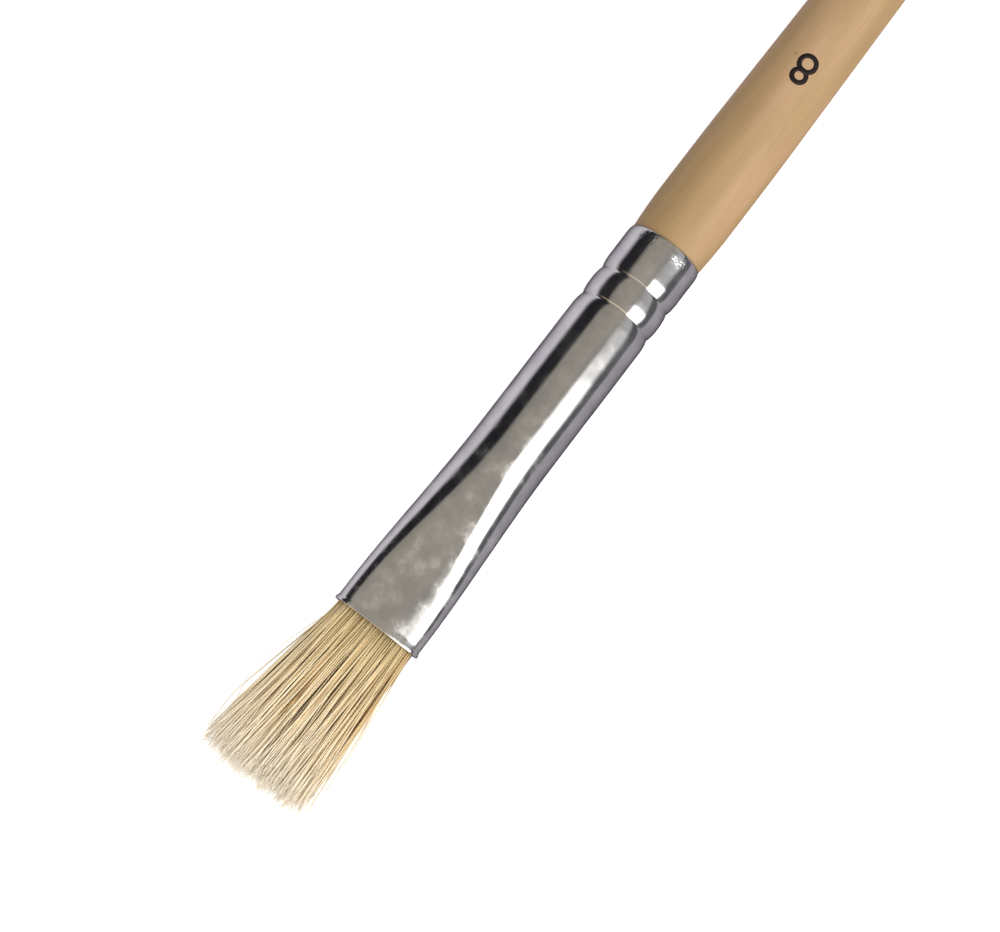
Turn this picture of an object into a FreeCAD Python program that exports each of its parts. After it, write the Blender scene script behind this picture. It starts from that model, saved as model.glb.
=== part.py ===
import FreeCAD
import Part
import Sketcher
import math
import os
import random

# A flat hog-bristle artist's brush, size 8, lying on its side with a flat of the ferrule upward.
# Every piece is drawn about the brush's own axis: x = 0 is the ferrule's rear rim, where the handle's
# shoulder seats, and +X runs towards the bristle tips. Y is the brush's width and Z its thickness.
# seat() then carries each piece to the shared frame, whose origin is on the table under the middle.

SIZES = (
    ("handle_length", 134.0, "wood from the shoulder to the tail"),
    ("grip_diameter", 7.0, "thickest part of the handle, a short cylinder"),
    ("shoulder_diameter", 6.6, "wood where it meets the ferrule"),
    ("swell_length", 4.5, "from the shoulder to the thickest part"),
    ("grip_length", 5.0, "the cylinder's length"),
    ("bend_length", 3.0, "curve that leads from the cylinder into the taper"),
    ("tail_diameter", 3.6, "handle at its domed end"),
    ("tenon_length", 16.0, "wood inside the ferrule"),
    ("tenon_chamfer", 0.6, "lead-in at the tenon's end"),
    ("glue_film", 0.06, "glue between the tenon and the ferrule"),
    ("glue_margin", 0.5, "bare tenon left at each end of the glue"),
    ("ferrule_length", 39.0, "rear rim to mouth"),
    ("barrel_diameter", 6.9, "outside of the round tube"),
    ("wall", 0.3, "sheet thickness of the tube"),
    ("rim_turn", 0.17, "how far the rear rim is turned in"),
    ("rim_length", 0.6, "length of the turned rim"),
    ("crimp_from_rim", 4.3, "rear rim to the nearer crimp"),
    ("crimp_pitch", 2.7, "one crimp to the next"),
    ("crimp_depth", 0.18, "how deep a crimp is pressed"),
    ("crimp_flank", 1.1, "half the width of a crimp"),
    ("mouth_width", 8.0, "outside width of the flattened mouth"),
    ("mouth_thickness", 3.4, "outside thickness of the flattened mouth"),
    ("mouth_corner", 1.6, "outside radius of the mouth's two sides"),
    ("flat_length", 1.5, "straight part behind the mouth"),
    ("flare_length", 17.0, "stretch over which the tube is flattened"),
    ("lip_length", 0.45, "length of the rolled lip at the mouth"),
    ("lip_height", 0.1, "how far the lip stands proud"),
    ("slice_depth", 0.3, "mouth to the face that the bristles grow from"),
    ("slice_thickness", 0.9, "front slice of the set bristle roots, which carries the strands"),
    ("plug_length", 8.0, "resin plug behind that slice"),
    ("bond_gap", 0.02, "clearance of what is bonded inside the tube"),
    ("bristle_reach", 17.0, "mouth to the longest tip"),
    ("bristle_ragged", 2.2, "how much shorter the other tips are"),
    ("bristle_round", 0.9, "how much shorter the tuft's two edges are than its middle"),
    ("tip_flare", 3.3, "how much wider the tuft is at its tips than the mouth"),
    ("belly_depth", 3.5, "thickness of the tuft at its belly"),
    ("tip_depth", 3.1, "thickness of the tuft at its tips"),
    ("belly_from_mouth", 6.5, "mouth to the belly"),
    ("bristle_lean", 0.6, "how far the tips stand to one side"),
    ("strand_width", 0.165, "one strand across its flats, at the root"),
    ("strand_tip", 0.06, "one strand across its flats, at the tip"),
    ("strand_pitch", 0.24, "one strand to the next, at the root"),
    ("strand_sink", 0.3, "root of a strand inside the slice"),
)

doc = FreeCAD.newDocument("FlatBrush")
sheet = doc.addObject("Spreadsheet::Sheet", "Sizes")
for row, (alias, number, meaning) in enumerate(SIZES, start=1):
    sheet.set(f"A{row}", meaning)
    sheet.set(f"B{row}", str(number))
    sheet.setAlias(f"B{row}", alias)
doc.recompute()


class Size:
    """A number together with the sheet formula it comes from, so that a sketch can be bound to it."""

    def __init__(self, number, formula):
        self.number = number
        self.formula = formula

    def combine(self, other, sign, work):
        other = other if isinstance(other, Size) else Size(other, str(other))
        return Size(work(self.number, other.number), f"({self.formula} {sign} {other.formula})")

    def __add__(self, other):
        return self.combine(other, "+", lambda a, b: a + b)

    def __sub__(self, other):
        return self.combine(other, "-", lambda a, b: a - b)

    def __mul__(self, other):
        return self.combine(other, "*", lambda a, b: a * b)

    def __truediv__(self, other):
        return self.combine(other, "/", lambda a, b: a / b)

    def __neg__(self):
        return Size(-self.number, f"(-{self.formula})")


def size(alias):
    """A driving size of the sheet."""
    return Size(float(sheet.get(alias)), f"Sizes.{alias}")


def cosine(angle):
    return Size(math.cos(math.radians(angle.number)), f"cos({angle.formula})")


def sine(angle):
    return Size(math.sin(math.radians(angle.number)), f"sin({angle.formula})")


def arctangent(ratio):
    return Size(math.degrees(math.atan(ratio.number)), f"atan({ratio.formula})")


ZERO = Size(0.0, "0")
RIGHT_ANGLE = Size(90.0, "90 deg")
BARREL_RADIUS = size("barrel_diameter") / 2
BORE_INSET = size("wall")
TENON_INSET = size("wall") + size("glue_film")
SIDE_ARCS = 5
FACE_CHORDS = 3
FLARE_SPANS = 8
CAVITY_SPANS = 4
CRIMPS = [size("crimp_from_rim"), size("crimp_from_rim") + size("crimp_pitch")]
MOUTH = size("ferrule_length")
FLARE_END = MOUTH - size("flat_length")
FLARE_START = FLARE_END - size("flare_length")
SLICE_FRONT = MOUTH - size("slice_depth")
SLICE_BACK = SLICE_FRONT - size("slice_thickness")


# ---- sketching -------------------------------------------------------------------------------------


def new_body(name):
    body = doc.addObject("PartDesign::Body", name)
    body.Label = name
    return body


def new_sketch(body, name, plane_role, station=None):
    """A sketch on one of the body's own origin planes, moved along that plane's normal to a station."""
    sketch = body.newObject("Sketcher::SketchObject", name)
    plane = [f for f in body.Origin.OriginFeatures if f.Role == plane_role][0]
    sketch.AttachmentSupport = [(plane, "")]
    sketch.MapMode = "FlatFace"
    if station is not None:
        sketch.setExpression("AttachmentOffset.Base.z", station.formula)
    return sketch


def bind(sketch, constraint, length):
    """Adds a dimension and ties it to the sheet."""
    index = sketch.addConstraint(Sketcher.Constraint(*constraint, length.number))
    sketch.setExpression(f"Constraints[{index}]", length.formula)


def pin(sketch, curve, end, x, y):
    """Holds a point of a curve at x, y, which are Sizes. end is 1 start, 2 end, 3 centre."""
    for kind, axis, length in (("DistanceX", -2, x), ("DistanceY", -1, y)):
        if length is ZERO:
            sketch.addConstraint(Sketcher.Constraint("PointOnObject", curve, end, axis))
        elif length.number < 0:
            bind(sketch, (kind, curve, end, -1, 1), -length)
        else:
            bind(sketch, (kind, -1, 1, curve, end), length)


def vector(x, y):
    return FreeCAD.Vector(x.number, y.number, 0)


def arc_between(start, end, radius, bulge):
    """The short arc of that radius from start to end; bulge is +1 to bend left of the way there, else -1."""
    a, b = vector(*start), vector(*end)
    half = (b - a) / 2
    left = FreeCAD.Vector(-half.y, half.x, 0).normalize()
    centre = a + half - left * (bulge * math.sqrt(max(radius.number**2 - half.Length**2, 0.0)))
    circle = Part.Circle(centre, FreeCAD.Vector(0, 0, 1), radius.number)
    first, last = (b, a) if bulge > 0 else (a, b)
    turns = [math.atan2(point.y - centre.y, point.x - centre.x) for point in (first, last)]
    return Part.ArcOfCircle(circle, turns[0], turns[1])


def closed_outline(sketch, corners):
    """Draws a closed outline. A corner is (x, y, way). The way on from it is None for a line, or an arc's
    (radius, bulge)."""
    curves, ends = [], []
    for (x, y, way), (next_x, next_y, _) in zip(corners, corners[1:] + corners[:1]):
        if way is None:
            curve = Part.LineSegment(vector(x, y), vector(next_x, next_y))
        else:
            curve = arc_between((x, y), (next_x, next_y), *way)
        curves.append(sketch.addGeometry(curve, False))
        ends.append((2, 1) if way is not None and way[1] > 0 else (1, 2))
    for curve, (first, _), (x, y, way) in zip(curves, ends, corners):
        pin(sketch, curve, first, x, y)
        if way is not None:
            bind(sketch, ("Radius", curve), way[0])
    for index, curve in enumerate(curves):
        after = (index + 1) % len(curves)
        joint = Sketcher.Constraint("Coincident", curve, ends[index][1], curves[after], ends[after][0])
        sketch.addConstraint(joint)


def revolve(body, sketch, name):
    """Turns an outline drawn on the XZ plane right round the brush's axis."""
    turned = body.newObject("PartDesign::Revolution", name)
    turned.Profile = sketch
    turned.ReferenceAxis = (sketch, ["H_Axis"])
    turned.Angle = 360
    sketch.Visibility = False
    return turned


def seat(piece):
    """Lays the brush on the table with the middle of its length over the origin."""
    lengthways = (size("handle_length") - size("ferrule_length") - size("bristle_reach")) / 2
    upward = size("grip_diameter") / 2
    piece.setExpression("Placement.Base.x", lengthways.formula)
    piece.setExpression("Placement.Base.z", upward.formula)


# ---- shapes shared by the pieces that nest in the tube ------------------------------------------------


def crimped_run(start, end, inset, shoulders):
    """Corners of the tube's outline from x = start to x = end, inset below its outer surface. Each crimp has
    two flanks that meet in a crease: rounded shoulders where they show, and straight ones inside."""
    level = BARREL_RADIUS - inset
    depth, flank = size("crimp_depth"), size("crimp_flank")
    way = ((flank * flank + depth * depth) / (depth * 2), 1) if shoulders else None
    corners = [(start, level, None)]
    for middle in CRIMPS:
        corners.append((middle - flank, level, way))
        corners.append((middle, level - depth, way))
        corners.append((middle + flank, level, None))
    corners.append((end, level, None))
    return corners


def mouth_angles():
    """Where the mouth's round side gives way to its nearly flat face: the distance of the side's centre from
    the axis, and the angle about that centre."""
    crown = size("mouth_thickness") / 2 - size("mouth_corner")
    reach = size("mouth_width") / 2 - size("mouth_corner")
    return reach, RIGHT_ANGLE - arctangent(crown / reach) * 2


def oval(body, name, station, flatness, inset, rounded):
    """Cross-section of the tube where it is flattened by flatness, 0 being round and 1 the mouth: two round
    sides and two nearly flat faces. They meet at the same angle in every section, so that a loft runs true
    from the round tube to the mouth. Each side is several arcs, which keeps the loft's facets few. Where it
    isn't rounded, as inside the tube, straight chords stand for the arcs."""
    reach, meet = mouth_angles()
    side_centre = reach * flatness
    corner = size("mouth_corner") * flatness + BARREL_RADIUS * (1 - flatness) - inset
    face_radius = corner + side_centre / cosine(meet)
    half = []
    for step in range(SIDE_ARCS):
        angle = meet * (2 * step / SIDE_ARCS - 1)
        half.append((side_centre + corner * cosine(angle), corner * sine(angle), corner))
    face_steps = 1 if rounded else FACE_CHORDS
    for step in range(face_steps):
        angle = meet + (RIGHT_ANGLE - meet) * (2 * step / face_steps)
        face_centre = side_centre * sine(meet) / cosine(meet)
        half.append((face_radius * cosine(angle), face_radius * sine(angle) - face_centre, face_radius))
    whole = half + [(-x, -y, radius) for x, y, radius in half]
    sketch = new_sketch(body, name, "YZ_Plane", station)
    closed_outline(sketch, [(x, y, (radius, -1) if rounded else None) for x, y, radius in whole])
    sketch.Visibility = False
    return sketch


def flare_stations(spans, last):
    """(station, flatness) down the flattened stretch: level at both ends and steepest in its middle."""
    stations = [(FLARE_START - size("rim_length"), 0)]
    for span in range(spans + 1):
        share = span / spans
        stations.append((FLARE_START + size("flare_length") * share, share * share * (3 - 2 * share)))
    stations.append((last, 1))
    return stations


def loft(body, kind, name, stations, inset, rounded):
    """A PartDesign loft through ovals at those stations. An inset of its own may follow a station."""
    sections = []
    for index, station in enumerate(stations):
        own_inset = station[2] if len(station) > 2 else inset
        section_name = f"{name}_section_{index}"
        sections.append(oval(body, section_name, station[0], station[1], own_inset, rounded))
    lofted = body.newObject(f"PartDesign::{kind}", name)
    lofted.Profile = sections[0]
    lofted.Sections = [(section, [""]) for section in sections[1:]]
    lofted.Ruled = True
    return lofted


# ---- the pieces ------------------------------------------------------------------------------------


def make_handle():
    """Turned wooden handle: tenon with the crimps pressed into it, swell, grip, long taper and domed tail."""
    body = new_body("handle")
    grip = size("grip_diameter") / 2
    shoulder = size("shoulder_diameter") / 2
    tail = size("tail_diameter") / 2
    tenon = BARREL_RADIUS - TENON_INSET
    swell, land, bend = size("swell_length"), size("grip_length"), size("bend_length")
    rise = grip - shoulder
    swell_radius = (swell * swell + rise * rise) / (rise * 2)
    taper_run = size("handle_length") - tail - swell - land - bend
    drop = (grip - tail) / (taper_run + bend / 2) * bend / 2
    bend_radius = (bend * bend + drop * drop) / (drop * 2)
    tenon_end = size("tenon_length")
    chamfer = size("tenon_chamfer")
    corners = [
        (-size("handle_length"), ZERO, (tail, 1)),
        (tail - size("handle_length"), tail, None),
        (-(swell + land + bend), grip - drop, (bend_radius, 1)),
        (-(swell + land), grip, None),
        (-swell, grip, (swell_radius, 1)),
        (ZERO, shoulder, None),
    ]
    corners += crimped_run(ZERO, tenon_end - chamfer, TENON_INSET, False)
    corners += [(tenon_end, tenon - chamfer, None), (tenon_end, ZERO, None)]
    sketch = new_sketch(body, "handle_outline", "XY_Plane")
    closed_outline(sketch, corners)
    revolve(body, sketch, "turned_handle")
    return body


def make_glue():
    """Film of glue between the tenon and the ferrule, ahead of the crimps."""
    body = new_body("handle_glue")
    start = CRIMPS[-1] + size("crimp_flank") + size("glue_margin")
    end = size("tenon_length") - size("tenon_chamfer") - size("glue_margin")
    outside, inside = BARREL_RADIUS - BORE_INSET, BARREL_RADIUS - TENON_INSET
    sketch = new_sketch(body, "glue_outline", "XY_Plane")
    corners = [(start, outside, None), (end, outside, None), (end, inside, None), (start, inside, None)]
    closed_outline(sketch, corners)
    revolve(body, sketch, "glue_sleeve")
    return body


def make_ferrule():
    """Seamless metal tube: turned rear rim, two crimps, round barrel, flattened mouth and rolled lip."""
    body = new_body("ferrule")
    rim, turn = size("rim_length"), size("rim_turn")
    rim_radius = (rim * rim + turn * turn) / (turn * 2)
    barrel_end = FLARE_START - size("rim_length")
    outer = [(ZERO, BARREL_RADIUS - turn, (rim_radius, 1))] + crimped_run(rim, barrel_end, ZERO, True)
    inner = crimped_run(ZERO, barrel_end, BORE_INSET, False)
    sketch = new_sketch(body, "barrel_outline", "XY_Plane")
    closed_outline(sketch, outer + inner[::-1])
    revolve(body, sketch, "barrel")
    lip, proud = size("lip_length"), size("lip_height")
    loft(body, "AdditiveLoft", "flare", flare_stations(FLARE_SPANS, MOUTH - lip), ZERO, True)
    lip_stations = [
        (MOUTH - lip, 1, ZERO),
        (MOUTH - lip * 0.7, 1, -proud * 0.8),
        (MOUTH - lip * 0.35, 1, -proud),
        (MOUTH, 1, -proud * 0.4),
    ]
    loft(body, "AdditiveLoft", "lip", lip_stations, ZERO, True)
    loft(body, "SubtractiveLoft", "cavity", flare_stations(CAVITY_SPANS, MOUTH + lip), BORE_INSET, False)
    return body


def make_cavity_core():
    """What would just fill the flattened tube. The plug and the strands' slice are cut from it."""
    core = new_body("cavity_core")
    inset = BORE_INSET + size("bond_gap")
    loft(core, "AdditiveLoft", "core", flare_stations(CAVITY_SPANS, MOUTH), inset, False)
    return core


def cut_from_core(core, name, start, length):
    """The part of the core from x = start on for that length."""
    margin = size("barrel_diameter") + size("mouth_width")
    window = doc.addObject("Part::Box", f"{name}_window")
    window.setExpression("Length", length.formula)
    window.setExpression("Width", margin.formula)
    window.setExpression("Height", margin.formula)
    window.setExpression("Placement.Base.x", start.formula)
    window.setExpression("Placement.Base.y", (-margin / 2).formula)
    window.setExpression("Placement.Base.z", (-margin / 2).formula)
    cut = doc.addObject("Part::Common", name)
    cut.Label = name
    cut.Base = core
    cut.Tool = window
    return cut


def strand_roots():
    """Staggered rows of (y, z) that fill the mouth's opening, clear of its wall."""
    pitch = size("strand_pitch").number
    row_pitch = pitch * math.sqrt(3) / 2
    inset = BORE_INSET.number + size("bond_gap").number + size("strand_width").number * 0.75
    corner = size("mouth_corner").number - inset
    half_depth = size("mouth_thickness").number / 2 - inset
    side_centre, meet = mouth_angles()
    face_radius = corner + (side_centre / cosine(meet)).number
    rows = int(half_depth / row_pitch)
    roots = []
    for row in range(-rows, rows + 1):
        z = row * row_pitch
        if abs(z) <= corner:
            reach = side_centre.number + math.sqrt(corner**2 - z * z)
        else:
            reach = math.sqrt(2 * face_radius * (half_depth - abs(z)))
        columns = int(reach / pitch) + 1
        for column in range(-columns, columns + 1):
            y = (column + 0.5 * (row % 2)) * pitch
            if abs(y) <= reach:
                roots.append((y, z))
    return roots


def strand_path(y, z, half_width, half_depth, chance):
    """(x, y, z) of one strand's axis at its root, the belly and the tips. All the strands bend at the same
    stations, and chance shifts each by less than the gap to its neighbours, so that none cross."""
    fan = (size("mouth_width") + size("tip_flare") - size("strand_tip")).number / 2 / half_width
    belly = (size("belly_depth") - size("strand_width")).number / 2 / half_depth
    tip = (size("tip_depth") - size("strand_tip")).number / 2 / half_depth
    share = size("belly_from_mouth").number / size("bristle_reach").number
    stations = (
        (SLICE_FRONT - size("strand_sink"), 1, 1, 0, 0.04),
        (MOUTH + size("belly_from_mouth"), 1 + (fan - 1) * share, belly, share, 0.15),
        (MOUTH + size("bristle_reach"), fan, tip, 1, 0.25),
    )
    path = []
    for x, spread, depth, gone, loose in stations:
        play = loose * size("strand_pitch").number
        lean = size("bristle_lean").number * gone**1.5
        across = y * spread - lean + chance.uniform(-play, play)
        path.append((x.number, across, z * depth + chance.uniform(-play, play)))
    return path


def square(x, y, z, width):
    """Corners of a square across the brush, of that width."""
    half = width / 2
    return [FreeCAD.Vector(x, y + a * half, z + b * half) for a, b in ((-1, -1), (1, -1), (1, 1), (-1, 1))]


def flat_face(corners):
    return Part.Face(Part.makePolygon(corners + corners[:1]))


def strand(path, tip_x):
    """A tapering four-sided strand that follows the path and ends at x = tip_x. All its squares lie the same
    way round, so each of its sides is flat between one square and the next."""
    (x0, y0, z0), (x1, y1, z1) = path[-2:]
    share = (tip_x - x0) / (x1 - x0)
    points = path[:-1] + [(tip_x, y0 + (y1 - y0) * share, z0 + (z1 - z0) * share)]
    root_width, tip_width = size("strand_width").number, size("strand_tip").number
    length = tip_x - points[0][0]
    squares = []
    for x, y, z in points:
        gone = (x - points[0][0]) / length
        squares.append(square(x, y, z, root_width + (tip_width - root_width) * gone**1.5))
    faces = [flat_face(squares[0]), flat_face(squares[-1])]
    for near, far in zip(squares, squares[1:]):
        for corner in range(4):
            after = (corner + 1) % 4
            faces.append(flat_face([near[corner], near[after], far[after], far[corner]]))
    return Part.Solid(Part.Shell(faces))


def make_tuft(core):
    """Bristle strands that grow from the front slice of their set roots, as one solid."""
    chance = random.Random(8)
    backing = cut_from_core(core, "tuft_slice", SLICE_BACK, size("slice_thickness"))
    doc.recompute()
    roots = strand_roots()
    middle = min(range(len(roots)), key=lambda index: math.hypot(*roots[index]))
    half_width = max(y for y, _ in roots)
    half_depth = max(z for _, z in roots)
    strands = []
    for index, (y, z) in enumerate(roots):
        path = strand_path(y, z, half_width, half_depth, chance)
        edge = size("bristle_round").number * (y / half_width) ** 4
        short = 0.0 if index == middle else edge + size("bristle_ragged").number * chance.random() ** 0.7
        strands.append(strand(path, (MOUTH + size("bristle_reach")).number - short))
    tuft = doc.addObject("Part::Feature", "bristle_tuft")
    tuft.Label = "bristle_tuft"
    tuft.Shape = backing.Shape.fuse(Part.makeCompound(strands)).Solids[0]
    return tuft


handle = make_handle()
glue = make_glue()
ferrule = make_ferrule()
cavity_core = make_cavity_core()
plug = cut_from_core(cavity_core, "root_plug", SLICE_BACK - size("plug_length"), size("plug_length"))
tuft = make_tuft(cavity_core)
pieces = [handle, glue, ferrule, plug, tuft]
for piece in pieces:
    seat(piece)
doc.recompute()

faults = [item.Label for item in doc.Objects if {"Invalid", "Error"} & set(item.State)]
faults += [piece.Label for piece in pieces if piece.Shape.isNull() or not piece.Shape.isValid()]
faults += [piece.Label for piece in pieces if len(piece.Shape.Solids) != 1]
if faults:
    raise RuntimeError("These did not build: " + ", ".join(faults))

os.makedirs("parts", exist_ok=True)
for piece in pieces:
    piece.Shape.exportStep(f"parts/{piece.Label}.step")
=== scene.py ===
import math
import random

import bpy
from mathutils import Matrix, Vector, noise


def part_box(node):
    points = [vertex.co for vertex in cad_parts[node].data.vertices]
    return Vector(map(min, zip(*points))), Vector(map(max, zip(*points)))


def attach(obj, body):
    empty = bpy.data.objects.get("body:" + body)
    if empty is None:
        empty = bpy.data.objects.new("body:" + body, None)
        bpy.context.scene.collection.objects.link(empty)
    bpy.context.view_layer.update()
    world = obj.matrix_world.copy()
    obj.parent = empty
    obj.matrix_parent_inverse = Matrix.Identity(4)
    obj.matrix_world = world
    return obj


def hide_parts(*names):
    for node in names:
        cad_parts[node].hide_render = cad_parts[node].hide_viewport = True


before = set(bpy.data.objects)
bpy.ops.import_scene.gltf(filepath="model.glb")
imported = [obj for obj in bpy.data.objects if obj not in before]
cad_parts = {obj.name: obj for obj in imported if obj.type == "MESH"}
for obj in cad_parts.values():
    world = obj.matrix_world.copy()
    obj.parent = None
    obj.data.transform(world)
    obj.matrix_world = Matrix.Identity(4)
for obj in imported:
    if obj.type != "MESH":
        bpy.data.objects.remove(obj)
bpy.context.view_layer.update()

MM = 0.001

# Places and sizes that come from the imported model, in metres.
handle_low, handle_high = (Vector(corner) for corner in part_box("handle"))
ferrule_low, ferrule_high = (Vector(corner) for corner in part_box("ferrule"))
tuft_low, tuft_high = (Vector(corner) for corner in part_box("bristle_tuft"))
TAIL_X = handle_low.x
RIM_X = ferrule_low.x
MOUTH_X = ferrule_high.x
TIP_X = tuft_high.x
AXIS_Z = (handle_low.z + handle_high.z) / 2
GRIP_RADIUS = (handle_high.z - handle_low.z) / 2

# The turned handle, measured back from the ferrule's rear rim, and its tenon, measured forward from it.
SHOULDER_RADIUS = 3.3 * MM
SWELL_LENGTH = 4.5 * MM
GRIP_LENGTH = 5.0 * MM
BEND_LENGTH = 3.0 * MM
TAIL_RADIUS = 1.8 * MM
TENON_RADIUS = 3.09 * MM
TENON_LENGTH = 16.0 * MM
TENON_CHAMFER = 0.6 * MM

# The ferrule, measured forward from the same rim.
BARREL_RADIUS = 3.45 * MM
WALL = 0.3 * MM
RIM_TURN = 0.17 * MM
RIM_LENGTH = 0.6 * MM
CRIMPS = (4.3 * MM, 7.0 * MM)
CRIMP_DEPTH = 0.18 * MM
CRIMP_FLANK = 1.1 * MM
CRIMP_STEEPNESS = 0.96  # 1 would stand the crease's sides upright
CRIMP_PULL = 0.03 * MM
CRIMP_PULL_LENGTH = 1.3 * MM
MOUTH_HALF_WIDTH = 4.0 * MM
MOUTH_HALF_DEPTH = 1.7 * MM
MOUTH_CORNER = 1.6 * MM
FLAT_LENGTH = 1.5 * MM
FLARE_LENGTH = 17.0 * MM
FACE_FALL = 0.22 * MM
LIP_LENGTH = 0.45 * MM
LIP_HEIGHT = 0.1 * MM
LIP_START = 0.28  # how far round its roll the lip is at the mouth's edge

# The tuft: its tips spread to TIP_FAN times the width of its roots and stand TIP_LEAN to one side.
TIP_FAN = 1.43
TIP_LEAN = 0.72 * MM


# ---- small tools -----------------------------------------------------------------------------------


def linear(hex_colour):
    """An sRGB hex colour as the linear RGBA that shaders take."""
    parts = [int(hex_colour[i : i + 2], 16) / 255 for i in (1, 3, 5)]
    return tuple(c / 12.92 if c <= 0.04045 else ((c + 0.055) / 1.055) ** 2.4 for c in parts) + (1.0,)


def smoothstep(low, high, value):
    share = min(max((value - low) / (high - low), 0.0), 1.0)
    return share * share * (3 - 2 * share)


def node(tree, kind, links=None, **settings):
    """Adds a shader node. settings are its own properties, or its inputs by name with _ for a space. links
    joins its inputs to other nodes' outputs."""
    made = tree.nodes.new(kind)
    for name, value in settings.items():
        if hasattr(made, name):
            setattr(made, name, value)
        else:
            made.inputs[name.replace("_", " ")].default_value = value
    for name, socket in (links or {}).items():
        tree.links.new(socket, made.inputs[name])
    return made


def ramp(tree, fac, stops):
    """A colour ramp through stops of (position, hex colour or grey)."""
    made = node(tree, "ShaderNodeValToRGB", {"Fac": fac})
    elements = made.color_ramp.elements
    for index, (position, colour) in enumerate(stops):
        element = elements[index] if index < 2 else elements.new(position)
        element.position = position
        element.color = linear(colour) if isinstance(colour, str) else (colour, colour, colour, 1)
    return made.outputs["Color"]


def blended(tree, kind, factor, first, second):
    """Two colours blended. factor is a number or a socket, and second may be a plain colour."""
    made = node(tree, "ShaderNodeMix", data_type="RGBA", blend_type=kind)
    if isinstance(factor, float):
        made.inputs["Factor"].default_value = factor
    else:
        tree.links.new(factor, made.inputs["Factor"])
    tree.links.new(first, made.inputs[6])
    if isinstance(second, tuple):
        made.inputs[7].default_value = second
    else:
        tree.links.new(second, made.inputs[7])
    return made.outputs[2]


def fade(tree, value, start, end, before, after):
    """Goes smoothly from before to after while value goes from start to end."""
    made = node(tree, "ShaderNodeMapRange", {"Value": value}, interpolation_type="SMOOTHSTEP")
    for name, number in (("From Min", start), ("From Max", end), ("To Min", before), ("To Max", after)):
        made.inputs[name].default_value = number
    return made.outputs["Result"]


def by_ray(tree, kind, chosen, others):
    """One shader for the rays of a kind, such as "Is Glossy Ray", and another for the others."""
    path = node(tree, "ShaderNodeLightPath").outputs
    return node(tree, "ShaderNodeMixShader", {0: path[kind], 1: others.outputs[0], 2: chosen.outputs[0]})


def new_material(name):
    """A material with a Principled shader, and its tree."""
    material = bpy.data.materials.new(name)
    material.use_nodes = True
    tree = material.node_tree
    return material, tree, tree.nodes["Principled BSDF"]


def add_piece(name, points, faces, material):
    """A mesh object of that name, which rides with the brush."""
    mesh = bpy.data.meshes.new(name)
    mesh.from_pydata([tuple(p) for p in points], [], faces)
    mesh.materials.append(material)
    mesh.polygons.foreach_set("use_smooth", [True] * len(mesh.polygons))
    mesh.validate()
    piece = bpy.data.objects.new(name, mesh)
    bpy.context.scene.collection.objects.link(piece)
    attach(piece, "root")
    return piece


def ring_faces(rings, around, closed_loop=False):
    """Quads between successive rings of points."""
    faces = []
    last = rings if closed_loop else rings - 1
    for ring in range(last):
        here, there = ring * around, ((ring + 1) % rings) * around
        for step in range(around):
            after = (step + 1) % around
            faces.append((here + step, here + after, there + after, there + step))
    return faces


# ---- materials -------------------------------------------------------------------------------------


def birch():
    """Birch, turned, sanded and clear-sealed: pale tan, straight fine grain, tiny dark flecks, satin."""
    material, tree, shader = new_material("birch_clear_sealed")
    place = node(tree, "ShaderNodeTexCoord").outputs["Object"]
    # 6.5 fibres to the millimetre, each a few millimetres long
    fibre_scale = (0.42 / MM, 6.5 / MM, 6.5 / MM)
    along = node(tree, "ShaderNodeMapping", {"Vector": place}, Scale=fibre_scale).outputs["Vector"]
    fibres = node(tree, "ShaderNodeTexNoise", {"Vector": along}, Scale=1.0, Detail=6.0, Roughness=0.7)
    # growth bands about 4 mm across and 30 mm long, hardly darker than the wood between them
    band_scale = (0.03 / MM, 0.26 / MM, 0.26 / MM)
    broad = node(tree, "ShaderNodeMapping", {"Vector": place}, Scale=band_scale).outputs["Vector"]
    bands = node(tree, "ShaderNodeTexNoise", {"Vector": broad}, Scale=1.0, Detail=2.0, Roughness=0.5)
    wood_stops = ((0.30, "#94784c"), (0.45, "#a4845a"), (0.58, "#b08d6b"), (0.72, "#ba987b"))
    wood = ramp(tree, bands.outputs["Fac"], wood_stops)
    grain = ramp(tree, fibres.outputs["Fac"], ((0.28, 0.55), (0.48, 0.88), (0.66, 1.0)))
    tinted = blended(tree, "MULTIPLY", 0.34, wood, grain)
    # flecks of 0.1 mm, a few to the square centimetre
    specks = node(tree, "ShaderNodeTexVoronoi", {"Vector": place}, Scale=0.8 / MM, Randomness=1.0)
    fleck = ramp(tree, specks.outputs["Distance"], ((0.07, 1.0), (0.10, 0.0)))
    chosen = ramp(tree, specks.outputs["Color"], ((0.86, 0.0), (0.88, 1.0)))
    fleck_on = node(tree, "ShaderNodeMath", {0: fleck, 1: chosen}, operation="MULTIPLY")
    spotted = blended(tree, "MIX", fleck_on.outputs["Value"], tinted, linear("#6d4a2c"))
    tree.links.new(spotted, shader.inputs["Base Color"])
    rough = ramp(tree, fibres.outputs["Fac"], ((0.3, 0.56), (0.7, 0.46)))
    tree.links.new(rough, shader.inputs["Roughness"])
    joins = {"Height": fibres.outputs["Fac"]}
    relief = node(tree, "ShaderNodeBump", joins, Strength=0.22, Distance=0.03 * MM)
    tree.links.new(relief.outputs["Normal"], shader.inputs["Normal"])
    shader.inputs["IOR"].default_value = 1.5
    return material


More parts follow.
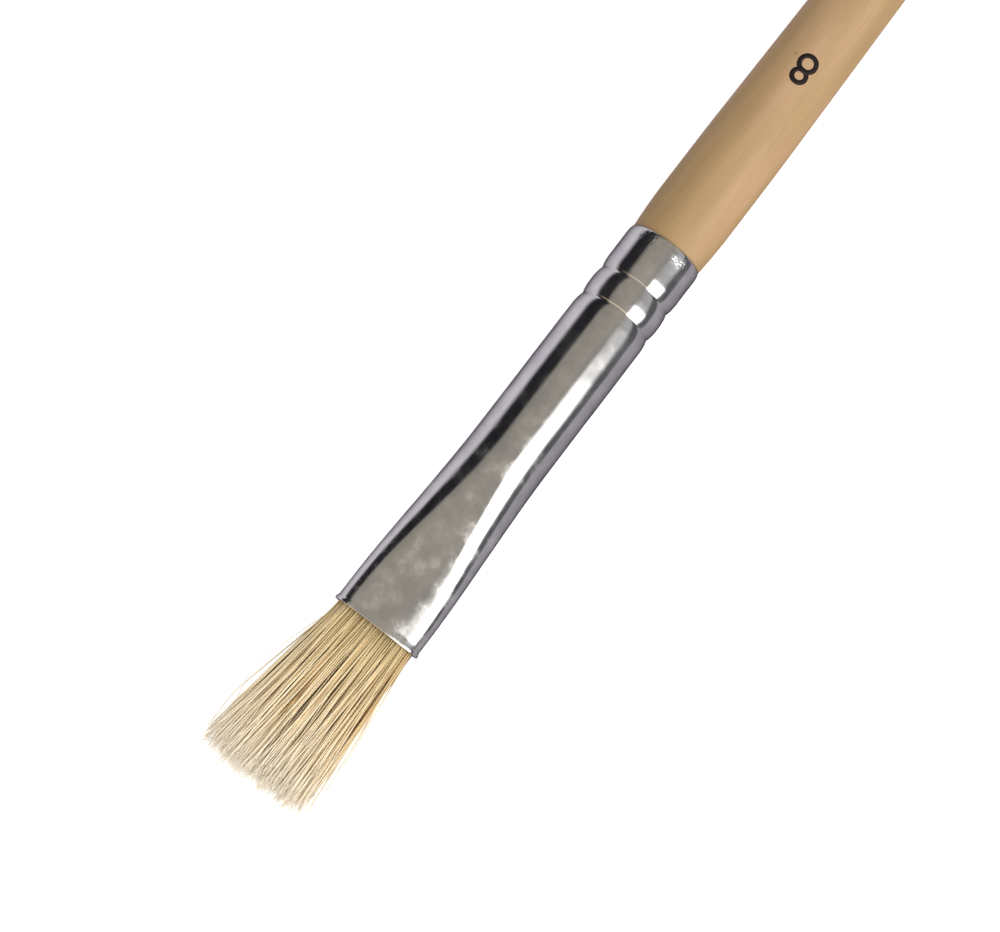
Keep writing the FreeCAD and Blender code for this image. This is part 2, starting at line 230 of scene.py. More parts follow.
def drawn_aluminium():
    """Bright drawn aluminium: mirror-like with faint lengthwise drawing lines, cloudy smudges and a marked
    rim."""
    material, tree, shader = new_material("aluminium_bright_drawn")
    place = node(tree, "ShaderNodeTexCoord").outputs["Object"]
    x = node(tree, "ShaderNodeSeparateXYZ", {"Vector": place}).outputs["X"]
    shader.inputs["Metallic"].default_value = 1.0
    shader.inputs["Specular Tint"].default_value = linear("#85838a")
    # smudges about 2 mm across
    smudge = node(tree, "ShaderNodeTexNoise", {"Vector": place}, Scale=0.52 / MM, Detail=5.0, Roughness=0.62)
    tone = ramp(tree, smudge.outputs["Fac"], ((0.38, "#d6d4d2"), (0.62, "#e6e3de")))
    tree.links.new(tone, shader.inputs["Base Color"])
    # fingers cloud the flattened part, and the barrel stays clearer
    cloudy = ramp(tree, smudge.outputs["Fac"], ((0.36, 0.11), (0.52, 0.16), (0.60, 0.27), (0.74, 0.34)))
    clear = fade(tree, x, RIM_X + 12.0 * MM, RIM_X + 24.0 * MM, 0.75, 0.0)
    rough = blended(tree, "MIX", clear, cloudy, (0.13, 0.13, 0.13, 1.0))
    tree.links.new(rough, shader.inputs["Roughness"])
    # 6.5 drawing lines to the millimetre run the length of the tube, deeper in the stretch by the rim
    line_scale = (0.26 / MM, 6.5 / MM, 6.5 / MM)
    along = node(tree, "ShaderNodeMapping", {"Vector": place}, Scale=line_scale).outputs["Vector"]
    lines = node(tree, "ShaderNodeTexNoise", {"Vector": along}, Scale=1.0, Detail=4.0)
    depth = fade(tree, x, RIM_X + 2.5 * MM, RIM_X + 4.5 * MM, 1.0, 0.22)
    scored = node(tree, "ShaderNodeMath", {0: lines.outputs["Fac"], 1: depth}, operation="MULTIPLY")
    joins = {"Height": scored.outputs["Value"]}
    drawn = node(tree, "ShaderNodeBump", joins, Strength=0.28, Distance=0.02 * MM)
    # the roller that turned the rim left marks a quarter of a millimetre across beside it
    near_rim = fade(tree, x, RIM_X + 0.5 * MM, RIM_X + 1.6 * MM, 1.0, 0.0)
    dents = node(tree, "ShaderNodeTexNoise", {"Vector": place}, Scale=3.8 / MM, Detail=2.0)
    marked = node(tree, "ShaderNodeMath", {0: dents.outputs["Fac"], 1: near_rim}, operation="MULTIPLY")
    joins = {"Height": marked.outputs["Value"], "Normal": drawn.outputs["Normal"]}
    marks = node(tree, "ShaderNodeBump", joins, Strength=0.31, Distance=0.1 * MM)
    tree.links.new(marks.outputs["Normal"], shader.inputs["Normal"])
    return material


def hog_bristle():
    """Bleached hog bristle: olive-gold at the root, paler along its length, nearly white at the split tip."""
    material, tree, shader = new_material("hog_bristle_bleached")
    along = node(tree, "ShaderNodeAttribute", attribute_name="along").outputs["Fac"]
    tone = node(tree, "ShaderNodeAttribute", attribute_name="tone").outputs["Fac"]
    root_to_tip = (
        (0.0, "#ad976b"),
        (0.16, "#d0bb8e"),
        (0.45, "#e8d6b1"),
        (0.75, "#f0e3c9"),
        (1.0, "#faf3e6"),
    )
    # by tone: some bristles are darker at random, and those deep in the tuft carry painted shade
    tone_and_painted_shade = (
        (0.0, "#9a6a35"),
        (0.15, "#c29a60"),
        (0.35, "#e2cca0"),
        (0.60, "#f6ecd6"),
        (1.0, "#fffcf6"),
    )
    mixed = blended(tree, "MULTIPLY", 0.9, ramp(tree, along, root_to_tip), ramp(tree, tone, tone_and_painted_shade))
    tree.links.new(mixed, shader.inputs["Base Color"])
    shader.inputs["Roughness"].default_value = 0.36
    shader.inputs["IOR"].default_value = 1.55
    shader.inputs["Sheen Weight"].default_value = 0.2
    return material


def print_ink():
    """Black pad-printing ink: a thin even film, its tone slightly uneven over the grain, nearly matt."""
    material, tree, shader = new_material("pad_print_ink_black")
    place = node(tree, "ShaderNodeTexCoord").outputs["Object"]
    grain = node(tree, "ShaderNodeTexNoise", {"Vector": place}, Scale=9.0 / MM, Detail=3.0)
    tone = ramp(tree, grain.outputs["Fac"], ((0.35, "#0f0a08"), (0.70, "#211611")))
    tree.links.new(tone, shader.inputs["Base Color"])
    shader.inputs["Roughness"].default_value = 0.6
    shader.inputs["Specular IOR Level"].default_value = 0.3
    return material


def cured_resin():
    """Cured resin with bristle ends set in it: brown, glassy, mottled."""
    material, tree, shader = new_material("resin_cured_brown")
    place = node(tree, "ShaderNodeTexCoord").outputs["Object"]
    mottle = node(tree, "ShaderNodeTexNoise", {"Vector": place}, Scale=5.0 / MM, Detail=3.0)
    tone = ramp(tree, mottle.outputs["Fac"], ((0.35, "#4a3216"), (0.70, "#8a6a3a")))
    tree.links.new(tone, shader.inputs["Base Color"])
    shader.inputs["Roughness"].default_value = 0.3
    return material


def wood_glue():
    """Cured wood glue: thin amber film."""
    material, tree, shader = new_material("wood_glue_amber")
    place = node(tree, "ShaderNodeTexCoord").outputs["Object"]
    mottle = node(tree, "ShaderNodeTexNoise", {"Vector": place}, Scale=2.5 / MM, Detail=2.0)
    tone = ramp(tree, mottle.outputs["Fac"], ((0.35, "#a8874c"), (0.70, "#c7a768")))
    tree.links.new(tone, shader.inputs["Base Color"])
    shader.inputs["Roughness"].default_value = 0.35
    return material


# ---- handle ----------------------------------------------------------------------------------------

HANDLE_AROUND = 96
CURVE_STEPS = 12  # in the tail's dome, the bend into the taper and the swell
TAPER_STEPS = 90


def inner_press(x):
    """How far a crimp presses the tube's bore, and the tenon in it, inward at x: two straight flanks."""
    shares = (1 - abs(x - RIM_X - crimp) / CRIMP_FLANK for crimp in CRIMPS)
    return CRIMP_DEPTH * max(0.0, *shares)


def handle_profile():
    """(x, radius) from beside the tail's pole to the tenon's end."""
    profile = []
    for step in range(1, CURVE_STEPS + 1):
        turn = math.pi / 2 * step / CURVE_STEPS
        profile.append((TAIL_X + TAIL_RADIUS * (1 - math.cos(turn)), TAIL_RADIUS * math.sin(turn)))
    dome_end = profile[-1][0]
    grip_end = RIM_X - SWELL_LENGTH - GRIP_LENGTH
    run = grip_end - BEND_LENGTH - dome_end
    slope = (GRIP_RADIUS - TAIL_RADIUS) / (run + BEND_LENGTH / 2)
    for step in range(1, TAPER_STEPS):
        share = step / TAPER_STEPS
        profile.append((dome_end + run * share, TAIL_RADIUS + slope * run * share))
    for step in range(CURVE_STEPS + 1):
        left = 1 - step / CURVE_STEPS
        radius = GRIP_RADIUS - slope * BEND_LENGTH / 2 * left * left
        profile.append((grip_end - BEND_LENGTH * left, radius))
    profile.append((grip_end + GRIP_LENGTH / 2, GRIP_RADIUS))
    for step in range(CURVE_STEPS + 1):
        share = step / CURVE_STEPS
        radius = GRIP_RADIUS - (GRIP_RADIUS - SHOULDER_RADIUS) * share * share
        profile.append((RIM_X - SWELL_LENGTH * (1 - share), radius))
    profile.append((RIM_X, TENON_RADIUS))
    for crimp in CRIMPS:
        for shift in (-CRIMP_FLANK, 0.0, CRIMP_FLANK):
            x = RIM_X + crimp + shift
            profile.append((x, TENON_RADIUS - inner_press(x)))
    profile.append((RIM_X + TENON_LENGTH - TENON_CHAMFER, TENON_RADIUS))
    profile.append((RIM_X + TENON_LENGTH, TENON_RADIUS - TENON_CHAMFER))
    return profile


def make_handle(material):
    profile = handle_profile()
    points = []
    for x, radius in profile:
        for step in range(HANDLE_AROUND):
            turn = 2 * math.pi * step / HANDLE_AROUND
            points.append((x, radius * math.cos(turn), AXIS_Z + radius * math.sin(turn)))
    faces = ring_faces(len(profile), HANDLE_AROUND)
    tail = len(points)
    points.append((TAIL_X, 0, AXIS_Z))
    points.append((profile[-1][0], 0, AXIS_Z))
    last = (len(profile) - 1) * HANDLE_AROUND
    for step in range(HANDLE_AROUND):
        after = (step + 1) % HANDLE_AROUND
        faces.append((tail, after, step))
        faces.append((tail + 1, last + step, last + after))
    piece = add_piece("handle_birch", points, faces, material)
    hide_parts("handle")


# ---- ferrule ---------------------------------------------------------------------------------------

# Points round a quarter of the tube, on the curve of its side and on its face.
SIDE_STEPS = 26
FACE_STEPS = 8
# Rings in each stretch of its length. They stand closest together in the stretch that holds the crimps.
RIM_STEPS = 8
CRIMPED_STEPS = 96
FLARE_STEPS = 80
LIP_STEPS = 12
BORE_STEPS = 40
CRIMPED_LENGTH = 9.0 * MM

# Hand-pressed sheet is never quite true. Its waves: how many to the metre along and across, where they
# start, and how high they are.
SHEET_WAVES = ((0.17 / MM, 0.26 / MM, 0.0, 0.016 * MM), (0.52 / MM, 0.62 / MM, 7.0, 0.0055 * MM))
TRUE_LENGTH = 1.0 * MM  # over which the waves die out before either end


def tube_section(flatness, inset):
    """(y, z, outward y, outward z) round the tube, anticlockwise from +Y. flatness is 0 where it is round and
    1 at the mouth."""
    reach = MOUTH_HALF_WIDTH - MOUTH_CORNER
    crown = MOUTH_HALF_DEPTH - MOUTH_CORNER
    meet = math.pi / 2 - 2 * math.atan(crown / reach)
    side_centre = reach * flatness
    corner = MOUTH_CORNER * flatness + BARREL_RADIUS * (1 - flatness) - inset
    face_radius = corner + side_centre / math.cos(meet)
    face_centre = side_centre * math.tan(meet)
    quarter = []
    for step in range(SIDE_STEPS):
        turn = meet * step / SIDE_STEPS
        away_y, away_z = math.cos(turn), math.sin(turn)
        quarter.append((side_centre + corner * away_y, corner * away_z, away_y, away_z))
    for step in range(FACE_STEPS):
        turn = meet + (math.pi / 2 - meet) * step / FACE_STEPS
        away_y, away_z = math.cos(turn), math.sin(turn)
        quarter.append((face_radius * away_y, face_radius * away_z - face_centre, away_y, away_z))
    top = (0.0, face_radius - face_centre, 0.0, 1.0)
    upper = quarter + [top] + [(-y, z, -ay, az) for y, z, ay, az in quarter[:0:-1]]
    return upper + [(-y, -z, -ay, -az) for y, z, ay, az in upper]


def flatness_at(x):
    start = MOUTH_X - FLAT_LENGTH - FLARE_LENGTH
    return smoothstep(start, start + FLARE_LENGTH, x)


def crimp_inset(x):
    """How far the outside is pressed in at x: rounded shoulders, a tight crease, and the tube drawn in a
    little on both sides of it."""
    deepest = pulled = 0.0
    for crimp in CRIMPS:
        away = abs(x - RIM_X - crimp)
        pulled = max(pulled, CRIMP_PULL * (1 - smoothstep(0, CRIMP_PULL_LENGTH, away)))
        share = away / CRIMP_FLANK
        if share < 1:
            rounded = 1 - math.sqrt(1 - CRIMP_STEEPNESS * (1 - share) ** 2)
            deepest = max(deepest, CRIMP_DEPTH * rounded / (1 - math.sqrt(1 - CRIMP_STEEPNESS)))
    return deepest + pulled


def outer_inset(x):
    inset = crimp_inset(x)
    into_rim = (x - RIM_X) / RIM_LENGTH
    if into_rim < 1:
        inset += RIM_TURN * (1 - math.sqrt(max(1 - (1 - into_rim) ** 2, 0)))
    from_mouth = (MOUTH_X - x) / LIP_LENGTH
    if from_mouth < 1:
        rolled = min(LIP_START + (1 - LIP_START) * from_mouth, 1.0)
        inset -= LIP_HEIGHT * math.sin(math.pi * rolled)
    return inset


def outer_point(x, y, z, away_y, away_z):
    """A point of the tube's outside, moved by the sheet's waves and by the fall of its face."""
    wave = 0.0
    for along, across, start, height in SHEET_WAVES:
        wave += noise.noise(Vector((x * along + start, y * across, z * across))) * height
    wave *= smoothstep(MOUTH_X, MOUTH_X - TRUE_LENGTH, x) * smoothstep(RIM_X, RIM_X + TRUE_LENGTH, x)
    # pressed a little harder on its +Y side, where the face falls away sooner
    wave -= FACE_FALL * smoothstep(0.7 * MM, 3.3 * MM, y) * max(away_z, 0) * flatness_at(x)
    return (x, y + away_y * wave, AXIS_Z + z + away_z * wave)


def outer_stations():
    """Where the outside's rings stand, from the rim to the mouth."""
    stations = [RIM_X + RIM_LENGTH * (step / RIM_STEPS) ** 1.5 for step in range(RIM_STEPS + 1)]
    crimped_end = RIM_X + CRIMPED_LENGTH
    lip_start = MOUTH_X - LIP_LENGTH
    for start, end, steps in (
        (RIM_X + RIM_LENGTH, crimped_end, CRIMPED_STEPS),
        (crimped_end, lip_start, FLARE_STEPS),
        (lip_start, MOUTH_X, LIP_STEPS),
    ):
        stations += [start + (end - start) * step / steps for step in range(1, steps + 1)]
    return stations


def bore_stations():
    """Where the bore's rings stand, from just inside the mouth back to the rim."""
    start = MOUTH_X - 0.3 * MM
    stations = [start + (RIM_X - start) * step / BORE_STEPS for step in range(BORE_STEPS + 1)]
    return [MOUTH_X - 0.02 * MM] + stations


def make_ferrule(material):
    rings = []
    for x in outer_stations():
        rings.append([outer_point(x, *spot) for spot in tube_section(flatness_at(x), outer_inset(x))])
    for x in bore_stations():
        section = tube_section(flatness_at(x), WALL + inner_press(x))
        rings.append([(x, y, AXIS_Z + z) for y, z, _, _ in section])
    points = [point for ring in rings for point in ring]
    faces = ring_faces(len(rings), len(rings[0]), closed_loop=True)
    piece = add_piece("ferrule_aluminium", points, faces, material)
    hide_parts("ferrule")


# ---- bristles --------------------------------------------------------------------------------------

BRISTLE_STEPS = 12
BRISTLE_SIDES = 4
SPACING = 0.136 * MM
ROW_SHARE = 0.87  # a row's height, as a share of the spacing: round things pack closer than squares
ROOT_SCATTER = 0.35 * SPACING
ROOT_CLEARANCE = 0.09 * MM
ROOT_DEPTH = 0.9 * MM
THINNEST_ROOT = 0.056 * MM
THICKEST_ROOT = 0.080 * MM
TAPER_SHARE = 0.52  # of its thickness that a bristle loses on the way to its tip
FLAGS_START = 0.93  # where the split end starts, as a share of the whole length

# The locks' rows over the mouth, as (height in mm, locks in the row), and how wide they span in mm.
LOCK_ROWS = ((1.05, 15), (0.35, 17), (-0.35, 17), (-1.05, 15))
LOCK_SPAN = 7.4

# What a draw from 0 to 1 makes of a bristle, by what it falls under.
SHORT_UNDER = 0.09
SLANTING_UNDER = 0.17
DARK_UNDER = 0.22
PARTED_UNDER = 0.65
PARTED_SIDE = -2.7 * MM

# The stray hair's places, in mm from the mouth and from the middle.
STRAY_HAIR = ((0.5, -3.4), (2.6, -4.2), (5.4, -5.05), (7.9, -5.86), (8.15, -5.87), (10.1, -5.6), (12.0, -5.1))
STRAY_RADIUS = 0.03 * MM


def mouth_roots(chance):
    """(y, z) of the bristles' roots, scattered evenly over the mouth's opening."""
    half_width = MOUTH_HALF_WIDTH - WALL - ROOT_CLEARANCE
    half_depth = MOUTH_HALF_DEPTH - WALL - ROOT_CLEARANCE
    corner = MOUTH_CORNER - WALL - ROOT_CLEARANCE
    rows = int(half_depth / (SPACING * ROW_SHARE))
    columns = 40
    roots = []
    for row in range(-rows, rows + 1):
        for column in range(-columns, columns + 1):
            y = (column + 0.5 * (row % 2)) * SPACING + chance.uniform(-ROOT_SCATTER, ROOT_SCATTER)
            z = row * SPACING * ROW_SHARE + chance.uniform(-ROOT_SCATTER, ROOT_SCATTER)
            over_y = max(abs(y) - (half_width - corner), 0)
            over_z = max(abs(z) - (half_depth - corner), 0)
            if math.hypot(over_y, over_z) <= corner:
                roots.append((y, z))
    return roots


def scatter_locks(chance):
    """The locks that the bristles gather in, as (y, z, drift of its tips, bow, how much longer), set out in
    rows across the mouth."""
    locks = []
    for z, count in LOCK_ROWS:
        for index in range(count):
            y = (index + 0.5 + chance.uniform(-0.35, 0.35)) / count * LOCK_SPAN - LOCK_SPAN / 2
            drift = chance.gauss(0, 0.30)
            bow = chance.gauss(0, 0.20)
            height = z + chance.uniform(-0.2, 0.2)
            longer = chance.gauss(0, 0.014)
            locks.append((y * MM, height * MM, drift * MM, bow * MM, longer))
    return locks


def bristle_path(y, z, chance, locks):
    """Points along one bristle from inside the mouth to its tip, and its tone: 0 dark, 1 pale. Those within
    the tuft are painted darker than those on the outside, as painted shade."""
    reach = TIP_X - MOUTH_X
    across = y / (MOUTH_HALF_WIDTH - WALL)
    nearest = min(locks, key=lambda lock: (lock[0] - y) ** 2 + (lock[1] - z) ** 2)
    lock_y, lock_z, drift, bow, longer = nearest
    length = reach * (0.80 + longer + 0.085 * chance.random() ** 1.3)
    if chance.random() < SHORT_UNDER:
        length *= chance.uniform(0.72, 0.95)
    tip_y = y * TIP_FAN - TIP_LEAN + chance.gauss(0, 0.16 * MM)
    lock_tip_y = lock_y * TIP_FAN - TIP_LEAN + drift
    tip_z = z * 1.05 + chance.gauss(0, 0.14 * MM)
    gather = 0.47 - 0.17 * across
    rise = 0.0
    # painted shade: bristles deep in the tuft are darker, those near its faces paler, with a random spread
    tone = 0.12 + 0.72 * min(abs(z) / (1.3 * MM), 1.0) ** 1.3 + chance.gauss(0, 0.14)
    kind = chance.random()
    if kind < SLANTING_UNDER:
        # a bristle that has worked out of its lock lies slantwise over the others
        gather, rise, tone = 0.0, 0.30 * MM, 0.95
        tip_y += chance.gauss(0, 0.75 * MM)
    elif kind < DARK_UNDER:
        tone = chance.uniform(0.0, 0.15)
    elif y < PARTED_SIDE and kind < PARTED_UNDER:
        # on this side the outermost bristles part from the rest
        gather, tone = 0.15, 0.9
        tip_y = chance.uniform(-6.5, -5.0) * MM
        length *= chance.uniform(0.92, 1.05)
    wave_height = chance.gauss(0, 0.15 * MM)
    wave_start = chance.uniform(0, 6.28)
    wave_turns = chance.uniform(4, 10)
    path = []
    for step in range(BRISTLE_STEPS + 1):
        x = MOUTH_X - ROOT_DEPTH + (length + ROOT_DEPTH) * step / BRISTLE_STEPS
        out = max(x - MOUTH_X, 0) / reach
        held = gather * smoothstep(0.02, 0.30, out) * (1 - smoothstep(0.45, 0.82, out))
        swell = math.sin(math.pi * min(out, 1.0))
        wave = wave_height * out * math.sin(wave_start + wave_turns * out)
        own_y = y + (tip_y - y) * out
        middle_y = lock_y + (lock_tip_y - lock_y) * out + bow * swell
        own_z = z + (tip_z - z) * out + (z * 0.14 + rise) * swell
        middle_z = lock_z * (1 + 0.14 * swell)
        place_y = own_y + (middle_y - own_y) * held + wave
        place_z = own_z + (middle_z - own_z) * held * 0.7 + wave
        path.append(inside_tuft(Vector((x, place_y, AXIS_Z + place_z))))
    return path, min(max(tone, 0.0), 1.0)


def inside_tuft(place):
    """The place, kept a hair's width inside the space that the tuft takes."""
    spare = 0.08 * MM
    place.x = min(place.x, tuft_high.x - spare / 4)
    place.y = min(max(place.y, tuft_low.y + spare), tuft_high.y - spare)
    place.z = min(max(place.z, tuft_low.z + spare), tuft_high.z - spare)
    return place


def add_tube(points, faces, values, path, radii, sides, starts, ends, tone):
    """A tapering tube along the path. values collects (along, tone) of each point; the tone pales towards
    the end of the bristle."""
    first = len(points)
    count = len(path)
    for index, centre in enumerate(path):
        ahead = path[min(index + 1, count - 1)] - path[max(index - 1, 0)]
        ahead.normalize()
        across = ahead.cross(Vector((0, 0.31, 0.95))).normalized()
        up = across.cross(ahead)
        along = starts + (ends - starts) * index / (count - 1)
        # towards the tips the painted shade of the inner bristles fades out, along with their random darkness
        paled = tone + (0.92 - tone) * 0.75 * smoothstep(0.45, 0.92, along)
        for side in range(sides):
            turn = 2 * math.pi * side / sides
            points.append(centre + (across * math.cos(turn) + up * math.sin(turn)) * radii[index])
            values.append((along, paled))
    for index in range(count - 1):
        here = first + index * sides
        for side in range(sides):
            after = (side + 1) % sides
            faces.append((here + side, here + after, here + sides + after, here + sides + side))
    faces.append(tuple(first + side for side in reversed(range(sides))))
    faces.append(tuple(first + (count - 1) * sides + side for side in range(sides)))


def add_flags(points, faces, values, path, root, tone, chance):
    """The split end of a bristle: one to three fine curling hairs."""
    ahead = (path[-1] - path[-2]).normalized()
    for _ in range(chance.choice((1, 2, 2, 3))):
        away = Vector((chance.uniform(0.6, 1.0), chance.gauss(0, 0.44), chance.gauss(0, 0.36)))
        away = (ahead * 1.1 + away).normalized()
        flag = chance.uniform(0.4, 1.6) * MM
        start = path[-1] - ahead * 0.05 * MM
        bend = Vector((0, chance.gauss(0, 0.10), chance.gauss(0, 0.08))) * MM
        split = [start, inside_tuft(start + away * flag * 0.5 + bend), inside_tuft(start + away * flag)]
        radii = [root * 0.34, root * 0.22, root * 0.10]
        add_tube(points, faces, values, split, radii, 3, FLAGS_START, 1.0, tone)


def make_bristles(material):
    chance = random.Random(8)
    locks = scatter_locks(chance)
    points, faces, values = [], [], []
    for y, z in mouth_roots(chance):
        path, tone = bristle_path(y, z, chance, locks)
        root = chance.uniform(THINNEST_ROOT, THICKEST_ROOT)
        shares = [index / BRISTLE_STEPS for index in range(BRISTLE_STEPS + 1)]
        radii = [root * (1 - TAPER_SHARE * share**1.3) for share in shares]
        add_tube(points, faces, values, path, radii, BRISTLE_SIDES, 0.0, FLAGS_START, tone)
        add_flags(points, faces, values, path, root, tone, chance)
    # one stray hair stands out at the side, kinked twice
    stray = [inside_tuft(Vector((MOUTH_X + x * MM, y * MM, AXIS_Z + 0.3 * MM))) for x, y in STRAY_HAIR]
    add_tube(points, faces, values, stray, [STRAY_RADIUS] * len(stray), BRISTLE_SIDES, 0.6, 1.0, 1.0)
    piece = add_piece("bristles", points, faces, material)
    for index, name in enumerate(("along", "tone")):
        attribute = piece.data.attributes.new(name, "FLOAT", "POINT")
        attribute.data.foreach_set("value", [pair[index] for pair in values])
    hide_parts("bristle_tuft")


# ---- printed size number ---------------------------------------------------------------------------


def handle_radius(x):
    profile = handle_profile()
    for (x0, r0), (x1, r1) in zip(profile, profile[1:]):
        if x0 <= x <= x1 and x1 > x0:
            return r0 + (r1 - r0) * (x - x0) / (x1 - x0)
    return GRIP_RADIUS


def make_number(material):
    """The size number 8, printed along the handle: two loops of an even stroke, the small one nearer the
    bristles."""
    middle_x = 20.75 * MM
    middle_y = -0.02 * MM
    stroke = 0.42 * MM
    film = 0.012 * MM
    ragged = 0.012 * MM
    notches = 9  # how closely the ragged edge's notches follow each other
    around = 72
    # each loop's place along the handle, half length and half width
    loops = ((0.63 * MM, 0.58 * MM, 0.60 * MM), (-0.62 * MM, 0.70 * MM, 0.72 * MM))
    points, faces = [], []
    for shift, half_length, half_width in loops:
        first = len(points)
        for step in range(around):
            turn = 2 * math.pi * step / around
            for edge in (1, -1):
                spot = Vector((math.cos(turn) * notches, math.sin(turn) * notches, edge + shift * 999))
                bled = ragged * noise.noise(spot)
                along = middle_x + shift + (half_length + edge * stroke / 2 + bled) * math.cos(turn)
                across = middle_y + (half_width + edge * stroke / 2 + bled) * math.sin(turn)
                for height in (film, -film):
                    radius = handle_radius(along) + height
                    angle = across / handle_radius(along)
                    points.append((along, radius * math.sin(angle), AXIS_Z + radius * math.cos(angle)))
        for step in range(around):
            here, there = first + step * 4, first + (step + 1) % around * 4
            for a, b in ((0, 2), (2, 3), (3, 1), (1, 0)):
                faces.append((here + a, here + b, there + b, there + a))
    piece = add_piece("size_number_8", points, faces, material)


# ---- stage, lights and camera ----------------------------------------------------------------------


def make_floor():
    """A white light table: the camera sees it glow, the brush gets only its plain pale bounce, and in the
    tube it shows as painted grey shade.
    """
    half = 3.0
    half_brush = 4.0 * MM
    mesh = bpy.data.meshes.new("floor")
    corners = [(-half, -half, 0), (half, -half, 0), (half, half, 0), (-half, half, 0)]
    mesh.from_pydata(corners, [], [(0, 1, 2, 3)])
    material, tree, shader = new_material("light_table_white")
    shader.inputs["Base Color"].default_value = linear("#fafafa")
    shader.inputs["Roughness"].default_value = 0.9
    shader.inputs["Specular IOR Level"].default_value = 0.1
    shader.inputs["Emission Color"].default_value = linear("#ffffff")
    shader.inputs["Emission Strength"].default_value = 0.45
    bounce = node(tree, "ShaderNodeBsdfDiffuse", Color=linear("#a29ea7"))
    # in the tube it shows as painted shade: grey, paler on the -Y side of the brush than on the +Y side
    place = node(tree, "ShaderNodeTexCoord").outputs["Object"]
    side = node(tree, "ShaderNodeSeparateXYZ", {"Vector": place}).outputs["Y"]
    across = fade(tree, side, -half_brush, half_brush, 0.0, 1.0)
    painted_floor_shade = ramp(tree, across, ((0.0, "#b9b5c0"), (1.0, "#8f8d95")))
    mirrored = node(tree, "ShaderNodeBsdfDiffuse", {"Color": painted_floor_shade})
    unseen = by_ray(tree, "Is Glossy Ray", mirrored, bounce)
    whole = by_ray(tree, "Is Camera Ray", shader, unseen)
    tree.links.new(whole.outputs[0], tree.nodes["Material Output"].inputs["Surface"])
    mesh.materials.append(material)
    floor = bpy.data.objects.new("floor", mesh)
    bpy.context.scene.collection.objects.link(floor)


# What the tube mirrors, by degrees round its length from straight up (0) to +Y (90).
MIRRORED = (
    (-180, "#b0acb4"),
    (-86, "#b0acb4"),
    (-80, "#1c1d22"),
    (-47, "#1c1d22"),
    (-40, "#96928b"),
    (8, "#a7a299"),
    (22, "#98948e"),
    (32, "#a6a6a8"),
    (57, "#b9babd"),
    (67, "#4e5056"),
    (88, "#5c5d63"),
    (98, "#b0acb4"),
    (180, "#b0acb4"),
)
# The strip lamp on the +Y side, which only the bristle half of the tube faces.
STRIP_LAMP = ((-180, 0.0), (22, 0.0), (30, 1.0), (63, 1.0), (71, 0.0), (180, 0.0))
LAMP_GLOW = 3.2
# The cream wall in front of the bristles, which shows in the creases and the lip.
FRONT_GLOW = 0.6
# Where along a mirrored ray's X the lamp and the wall start to show, and where they are whole.
LAMP_STARTS, LAMP_WHOLE = -0.194, -0.140
FRONT_STARTS, FRONT_WHOLE = 0.37, 0.47
# What lights the wood and bristles: the same room, without edges.
SOFT_ROOM = ((-180, 0.34), (-90, 0.30), (-40, 0.40), (0, 0.66), (45, 1.0), (90, 0.95), (180, 0.34))
SOFT_ROOM_LEVEL = 2.2


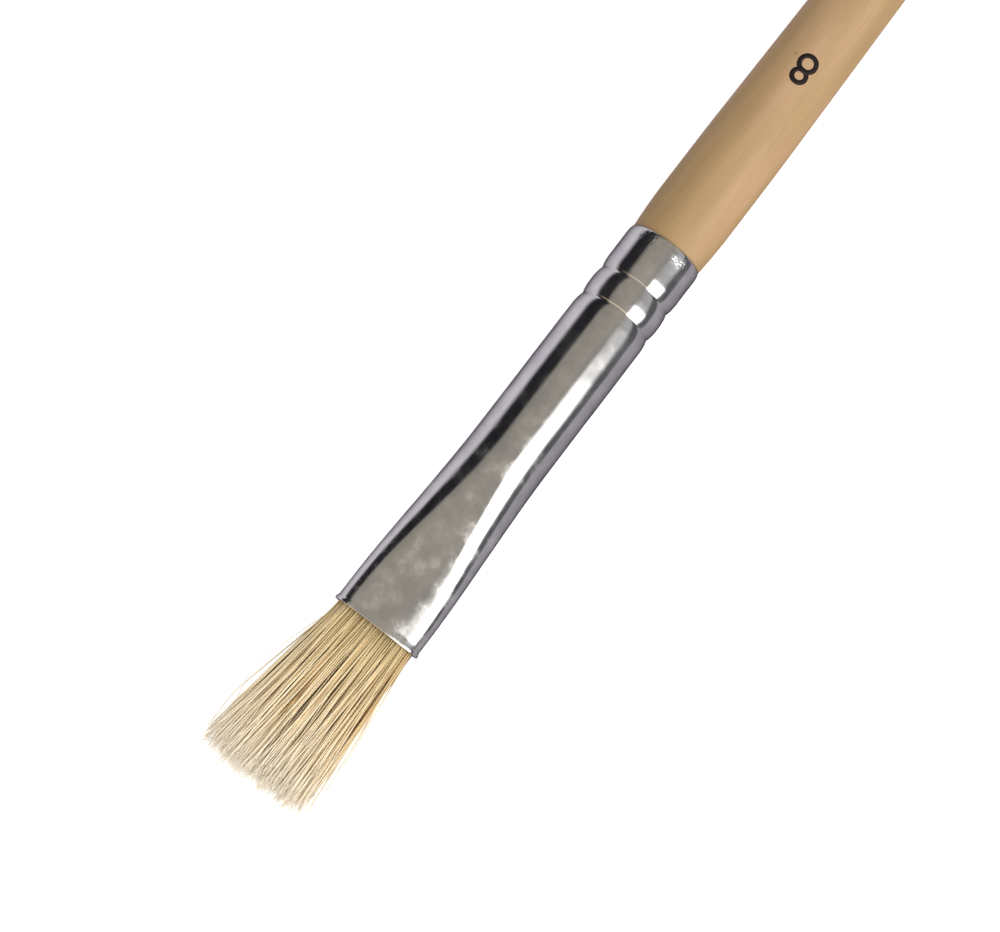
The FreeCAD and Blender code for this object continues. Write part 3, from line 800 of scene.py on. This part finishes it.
def make_light():
    """A soft studio round the brush, brighter on its +Y side. The tube shows it as bands along its length."""
    world = bpy.data.worlds.new("studio")
    bpy.context.scene.world = world
    world.use_nodes = True
    tree = world.node_tree
    tree.nodes.clear()
    direction = node(tree, "ShaderNodeTexCoord").outputs["Generated"]
    split = node(tree, "ShaderNodeSeparateXYZ", {"Vector": direction}).outputs
    angle = node(tree, "ShaderNodeMath", {0: split["Y"], 1: split["Z"]}, operation="ARCTAN2").outputs["Value"]
    turn = node(tree, "ShaderNodeMapRange", {"Value": angle})
    turn.inputs["From Min"].default_value = -math.pi
    turn.inputs["From Max"].default_value = math.pi
    glows = []
    for stops in (MIRRORED, STRIP_LAMP, SOFT_ROOM):
        places = [((degrees + 180) / 360, glow) for degrees, glow in stops]
        glows.append(ramp(tree, turn.outputs["Result"], places))
    band_glow, lamp_glow, soft_glow = glows
    reach = fade(tree, split["X"], LAMP_STARTS, LAMP_WHOLE, 0.0, LAMP_GLOW)
    lamp_strength = node(tree, "ShaderNodeMath", {0: lamp_glow, 1: reach}, operation="MULTIPLY")
    bands = node(tree, "ShaderNodeBackground", {"Color": band_glow}, Strength=1.0)
    joins = {"Strength": lamp_strength.outputs["Value"]}
    lamp = node(tree, "ShaderNodeBackground", joins, Color=linear("#ffffff"))
    ahead = fade(tree, split["X"], FRONT_STARTS, FRONT_WHOLE, 0.0, FRONT_GLOW)
    front = node(tree, "ShaderNodeBackground", {"Strength": ahead}, Color=linear("#f6dcb8"))
    sides = node(tree, "ShaderNodeAddShader", {0: bands.outputs[0], 1: lamp.outputs[0]})
    mirrored = node(tree, "ShaderNodeAddShader", {0: sides.outputs[0], 1: front.outputs[0]})
    soft = node(tree, "ShaderNodeBackground", {"Color": soft_glow}, Strength=SOFT_ROOM_LEVEL)
    plain = node(tree, "ShaderNodeBackground", Color=linear("#ffffff"), Strength=1.0)
    room = by_ray(tree, "Is Glossy Ray", mirrored, soft)
    whole = by_ray(tree, "Is Camera Ray", plain, room)
    node(tree, "ShaderNodeOutputWorld", {"Surface": whole.outputs[0]})


def make_camera():
    """Looks down at the flat of the brush from above its bristle end, so that the handle recedes."""
    tilt = math.radians(8.0)
    swing = math.radians(52.52)
    distance = 0.200
    looked_at = Vector((MOUTH_X - 16.48 * MM, 0.0, AXIS_Z))
    forward = Vector((-math.sin(tilt), 0, -math.cos(tilt)))
    towards_tail = Vector((-math.cos(tilt), 0, math.sin(tilt)))
    across = Vector((0, 1, 0))
    right = towards_tail * math.cos(swing) + across * math.sin(swing)
    up = towards_tail * math.sin(swing) - across * math.cos(swing)
    camera_data = bpy.data.cameras.new("camera")
    camera_data.sensor_width = 36.0
    camera_data.lens = 89.0
    camera_data.clip_start = 0.01
    camera_data.clip_end = 20.0
    camera = bpy.data.objects.new("camera", camera_data)
    bpy.context.scene.collection.objects.link(camera)
    turned = Matrix((right, up, -forward)).transposed().to_4x4()
    camera.matrix_world = Matrix.Translation(looked_at - forward * distance) @ turned
    bpy.context.scene.camera = camera


def dress_hidden_node(name, material):
    """Gives a CAD node that stays its own material."""
    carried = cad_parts[name]
    carried.data.materials.clear()
    carried.data.materials.append(material)


make_handle(birch())
make_ferrule(drawn_aluminium())
make_bristles(hog_bristle())
make_number(print_ink())
dress_hidden_node("root_plug", cured_resin())
dress_hidden_node("handle_glue", wood_glue())
make_floor()
make_light()
make_camera()
bpy.context.scene.view_settings.view_transform = "Standard"
